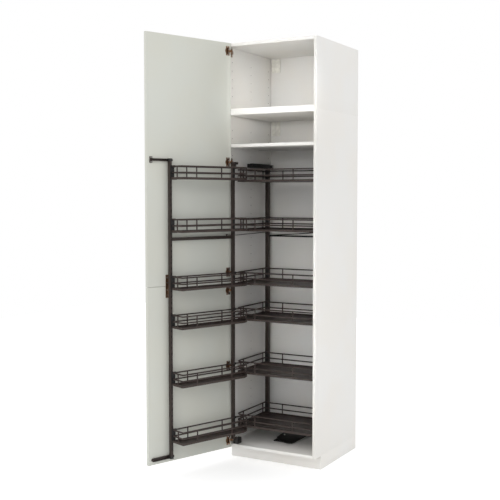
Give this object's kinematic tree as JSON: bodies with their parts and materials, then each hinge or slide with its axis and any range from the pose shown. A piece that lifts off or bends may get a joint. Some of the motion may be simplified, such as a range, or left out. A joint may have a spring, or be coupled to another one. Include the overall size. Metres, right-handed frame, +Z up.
{
  "type": "pull out larder unit",
  "caption": "Tall kitchen cabinet whose hinged door swings out a frame of wire-railed trays, while a rod draws a second frame of trays forward inside.",
  "frame": {"origin": "on the floor, under the middle of the carcass", "axes": "+Z up, -Y is the cabinet's front, X runs along the front; the door hangs on the -X side and rests open"},
  "size_m": [0.7738, 1.1683, 2.48],
  "materials": {
    "carcass_board": "white melamine faced board",
    "back_board": "white lacquered fibreboard",
    "plinth_board": "white faced board",
    "door_board": "pale grey-green faced board",
    "white_plastic": "moulded",
    "black_plastic": "moulded",
    "hinge_metal": "bronze",
    "pin_steel": "bright",
    "frame_metal": "anthracite powder coat",
    "runner_metal": "dark powder coat"
  },
  "bodies": {
    "cabinet": {"lower_side_left": "carcass_board", "lower_side_right": "carcass_board", "lower_bottom": "carcass_board", "lower_top": "carcass_board", "fixed_shelf": "carcass_board", "lower_back": "back_board", "upper_side_left": "carcass_board", "upper_side_right": "carcass_board", "upper_bottom": "carcass_board", "upper_top": "carcass_board", "upper_back": "back_board", "hanger_covers": "white_plastic", "plinth_front": "plinth_board", "plinth_returns": "plinth_board", "legs": "black_plastic", "leg_feet": "black_plastic", "hinge_plates": "hinge_metal", "hinge_arms": "hinge_metal", "hinge_arm_pins": "pin_steel", "floor_pivot_block": "black_plastic", "wall_pivot_bracket": "frame_metal", "pivot_pins": "pin_steel", "floor_runner": "runner_metal", "wall_runner": "runner_metal"},
    "hinge_links": {"hinge_links": "hinge_metal"},
    "door": {"door_lower": "door_board", "door_upper": "door_board", "joining_plate": "hinge_metal", "joining_screws": "pin_steel", "hinge_cups": "hinge_metal", "hinge_cup_pins": "pin_steel", "lower_track": "frame_metal", "upper_track": "frame_metal"},
    "front_frame": {"front_post_outer": "frame_metal", "front_post_hinge": "frame_metal", "front_crossbar": "frame_metal", "foot_crank": "frame_metal", "head_crank": "frame_metal", "track_followers": "black_plastic", "front_hooks": "black_plastic", "front_tray_1": "frame_metal", "front_tray_2": "frame_metal", "front_tray_3": "frame_metal", "front_tray_4": "frame_metal", "front_tray_5": "frame_metal", "front_tray_6": "frame_metal"},
    "rear_frame": {"rear_post_left": "frame_metal", "rear_post_right": "frame_metal", "rear_crossbar": "frame_metal", "rear_beam": "frame_metal", "rear_sled": "frame_metal", "rear_top_arm": "frame_metal", "rear_hooks": "black_plastic", "rear_tray_1": "frame_metal", "rear_tray_2": "frame_metal", "rear_tray_3": "frame_metal", "rear_tray_4": "frame_metal", "rear_tray_5": "frame_metal", "rear_tray_6": "frame_metal"},
    "coupling_rod": {"coupling_rod": "frame_metal"}
  },
  "joints": [
    {"name": "link_pivot", "type": "hinge", "parent": "cabinet", "child": "hinge_links", "pos_m": [-0.264, -0.283, 1.2], "axis": [0, 0, 1], "range_deg": [-54, 0]},
    {"name": "door_pivot", "type": "hinge", "parent": "hinge_links", "child": "door", "pos_m": [-0.25934, -0.31605, 1.2], "axis": [0, 0, 1], "range_deg": [0, 164]},
    {"name": "front_frame_pivot", "type": "hinge", "parent": "cabinet", "child": "front_frame", "pos_m": [-0.22512, -0.28475, 0.9], "axis": [0, 0, 1], "range_deg": [0, 110]},
    {"name": "rear_frame_slide", "type": "slide", "parent": "cabinet", "child": "rear_frame", "axis": [0, 1, 0], "range_m": [0, 0.07414]},
    {"name": "rod_pivot", "type": "hinge", "parent": "rear_frame", "child": "coupling_rod", "pos_m": [-0.247, 0.12806, 1.358], "axis": [0, 0, 1], "range_deg": [0, 12.37]}
  ],
  "couplings": [
    {"joint": "link_pivot", "follows": "door_pivot", "ratio": -0.32927},
    {"joint": "front_frame_pivot", "follows": "door_pivot", "ratio": 0.67073},
    {"joint": "rear_frame_slide", "follows": "door_pivot", "m_per_rad": 0.025901},
    {"joint": "rod_pivot", "follows": "door_pivot", "ratio": 0.075399}
  ]
}
